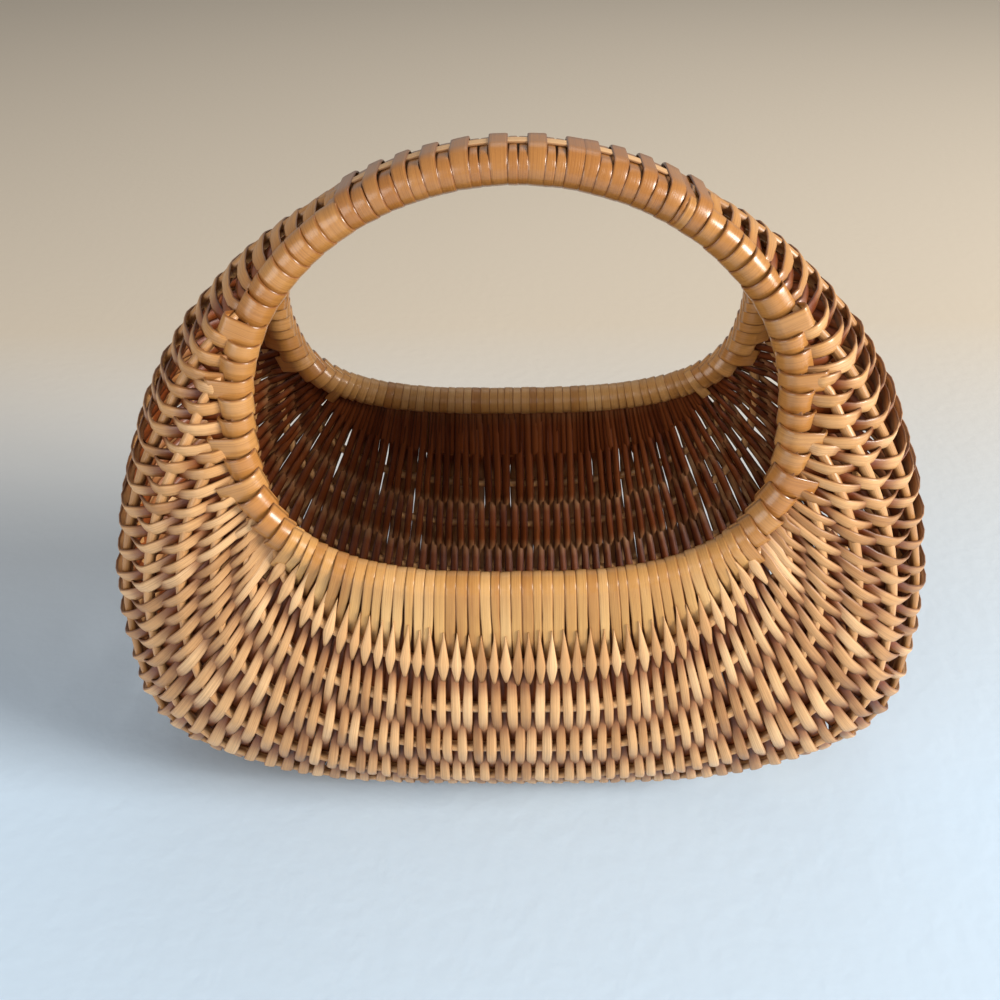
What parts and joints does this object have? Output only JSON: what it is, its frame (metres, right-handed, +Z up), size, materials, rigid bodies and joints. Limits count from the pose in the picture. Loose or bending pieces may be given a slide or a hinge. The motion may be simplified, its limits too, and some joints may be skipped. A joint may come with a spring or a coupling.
{
  "type": "basket",
  "caption": "Oval woven willow market basket with two wrapped hoops bound together as a fixed arched handle",
  "frame": {"origin": "middle of the base", "axes": "X along the handle, Y from front rim to back rim, Z up"},
  "size_m": [0.3362, 0.1618, 0.2744],
  "materials": {
    "woven_willow": "split willow skeins, dry and lightly varnished, tan with honey and pink-brown strips",
    "wrapped_willow": "glossy golden varnished willow wraps",
    "rib_rods": "round peeled willow rods, satin",
    "hoop_rods": "bent rod under the wraps"
  },
  "bodies": {
    "root": {"woven_wall": "woven_willow", "handle_binding": "wrapped_willow", "handle_lacing": "woven_willow", "front_hoop": "hoop_rods", "back_hoop": "hoop_rods", "keel_rib": "rib_rods", "front_rib_1": "rib_rods", "front_rib_2": "rib_rods", "front_rib_3": "rib_rods", "front_rib_4": "rib_rods", "front_rib_5": "rib_rods", "front_rib_6": "rib_rods", "back_rib_1": "rib_rods", "back_rib_2": "rib_rods", "back_rib_3": "rib_rods", "back_rib_4": "rib_rods", "back_rib_5": "rib_rods", "back_rib_6": "rib_rods"}
  },
  "joints": []
}
